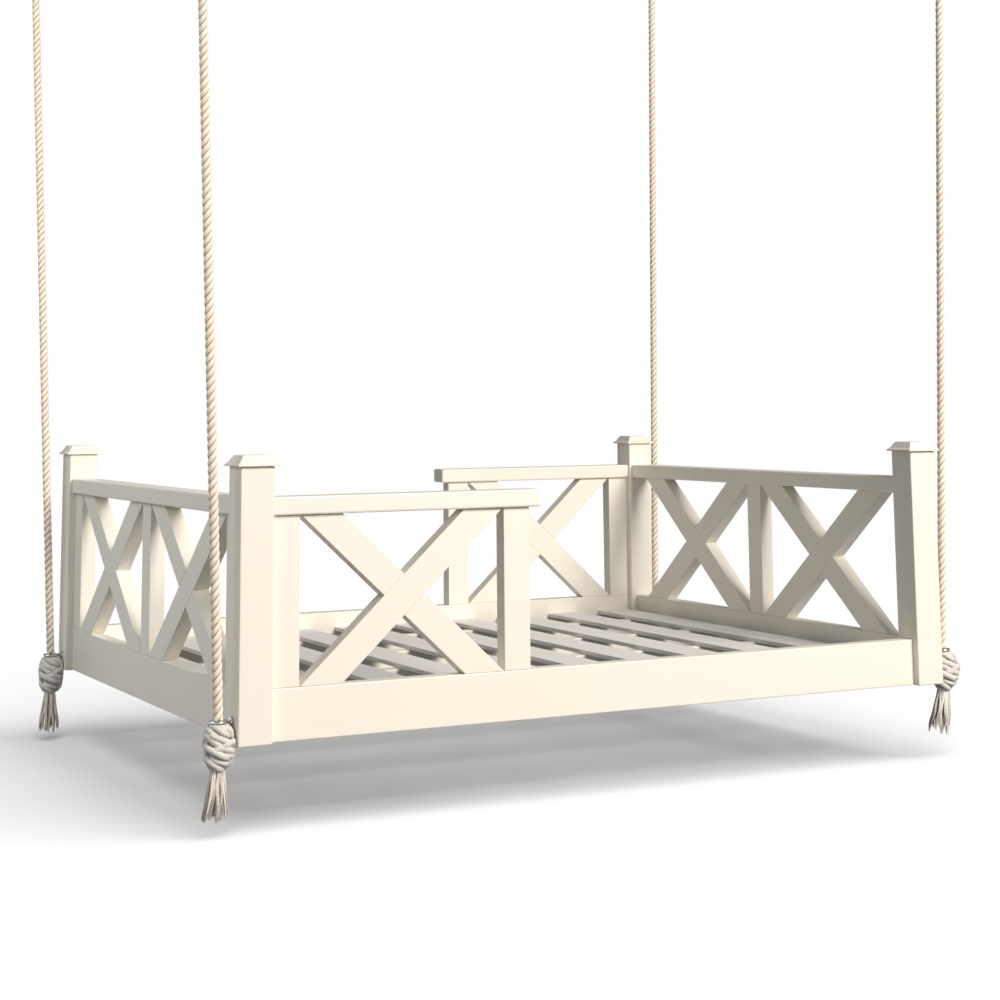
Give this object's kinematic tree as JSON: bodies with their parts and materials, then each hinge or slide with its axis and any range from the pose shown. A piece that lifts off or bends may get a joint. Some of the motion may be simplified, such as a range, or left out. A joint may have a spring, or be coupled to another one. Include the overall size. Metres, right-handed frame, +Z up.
{
  "type": "hanging porch bed",
  "caption": "Hanging porch bed: white timber frame with X lattice panels, capped posts and a slatted deck, hung on twisted ropes with tasselled stopper knots; it swings fore and aft.",
  "frame": {"origin": "point of the ceiling straight above the middle of the bed, 2.660 m above the feet of its posts", "axes": "+X along the bed towards the end with no stiles beside its posts, +Y across it to the back, +Z up"},
  "size_m": [2.509, 1.821, 2.8565],
  "materials": {
    "white_paint": "satin paint",
    "slat_paint": "matt paint",
    "zinc_steel": "zinc plated",
    "rope_fibre": "twisted strands",
    "knot_fibre": "woven strands with frayed ends"
  },
  "bodies": {
    "ceiling": {"ceiling_eye_front_left": "zinc_steel", "ceiling_eye_front_right": "zinc_steel", "ceiling_eye_back_right": "zinc_steel", "ceiling_eye_back_left": "zinc_steel"},
    "bed": {"post_front_left": "white_paint", "post_front_right": "white_paint", "post_back_right": "white_paint", "post_back_left": "white_paint", "cap_front_left": "white_paint", "cap_front_right": "white_paint", "cap_back_right": "white_paint", "cap_back_left": "white_paint", "bottom_rail_front": "white_paint", "bottom_rail_right": "white_paint", "bottom_rail_back": "white_paint", "bottom_rail_left": "white_paint", "top_rail_front": "white_paint", "top_rail_right": "white_paint", "top_rail_back": "white_paint", "top_rail_left": "white_paint", "stile_front_post": "white_paint", "stile_front_open": "white_paint", "stile_back_post": "white_paint", "stile_back_open": "white_paint", "stile_front_left": "white_paint", "stile_back_left": "white_paint", "mullion_left": "white_paint", "mullion_right": "white_paint", "lattice_front": "white_paint", "lattice_back": "white_paint", "lattice_front_left": "white_paint", "lattice_front_right": "white_paint", "lattice_back_right": "white_paint", "lattice_back_left": "white_paint", "bearer_1": "white_paint", "bearer_2": "white_paint", "bearer_3": "white_paint", "bearer_4": "white_paint", "slat_01": "slat_paint", "slat_02": "slat_paint", "slat_03": "slat_paint", "slat_04": "slat_paint", "slat_05": "slat_paint", "slat_06": "slat_paint", "slat_07": "slat_paint", "slat_08": "slat_paint", "slat_09": "slat_paint", "slat_10": "slat_paint", "eye_bolt_front_left": "zinc_steel", "eye_bolt_front_right": "zinc_steel", "eye_bolt_back_right": "zinc_steel", "eye_bolt_back_left": "zinc_steel", "knot_front_left": "knot_fibre", "knot_front_right": "knot_fibre", "knot_back_right": "knot_fibre", "knot_back_left": "knot_fibre"},
    "rope_front_left": {"rope_front_left": "rope_fibre"},
    "rope_front_right": {"rope_front_right": "rope_fibre"},
    "rope_back_right": {"rope_back_right": "rope_fibre"},
    "rope_back_left": {"rope_back_left": "rope_fibre"}
  },
  "joints": [
    {"name": "swing", "type": "hinge", "parent": "ceiling", "child": "rope_front_left", "pos_m": [-1.2275, -0.86155, -0.042], "axis": [1, 0, 0], "range_deg": [-10, 10]},
    {"name": "bed_on_front_left_rope", "type": "hinge", "parent": "rope_front_left", "child": "bed", "pos_m": [-1.1155, -0.80655, -2.602], "axis": [1, 0, 0], "range_deg": [-11, 11]},
    {"name": "front_right_rope_on_bed", "type": "hinge", "parent": "bed", "child": "rope_front_right", "pos_m": [1.1155, -0.80655, -2.57], "axis": [1, 0, 0], "range_deg": [-11, 11]},
    {"name": "back_right_rope_on_bed", "type": "hinge", "parent": "bed", "child": "rope_back_right", "pos_m": [1.1155, 0.80655, -2.593], "axis": [1, 0, 0], "range_deg": [-11, 11]},
    {"name": "back_left_rope_on_bed", "type": "hinge", "parent": "bed", "child": "rope_back_left", "pos_m": [-1.1155, 0.80655, -2.615], "axis": [1, 0, 0], "range_deg": [-11, 11]}
  ],
  "couplings": [
    {"joint": "bed_on_front_left_rope", "follows": "swing", "ratio": -1.0682},
    {"joint": "front_right_rope_on_bed", "follows": "swing", "ratio": 1.0818},
    {"joint": "back_right_rope_on_bed", "follows": "swing", "ratio": 1.0715},
    {"joint": "back_left_rope_on_bed", "follows": "swing", "ratio": 1.0638}
  ]
}
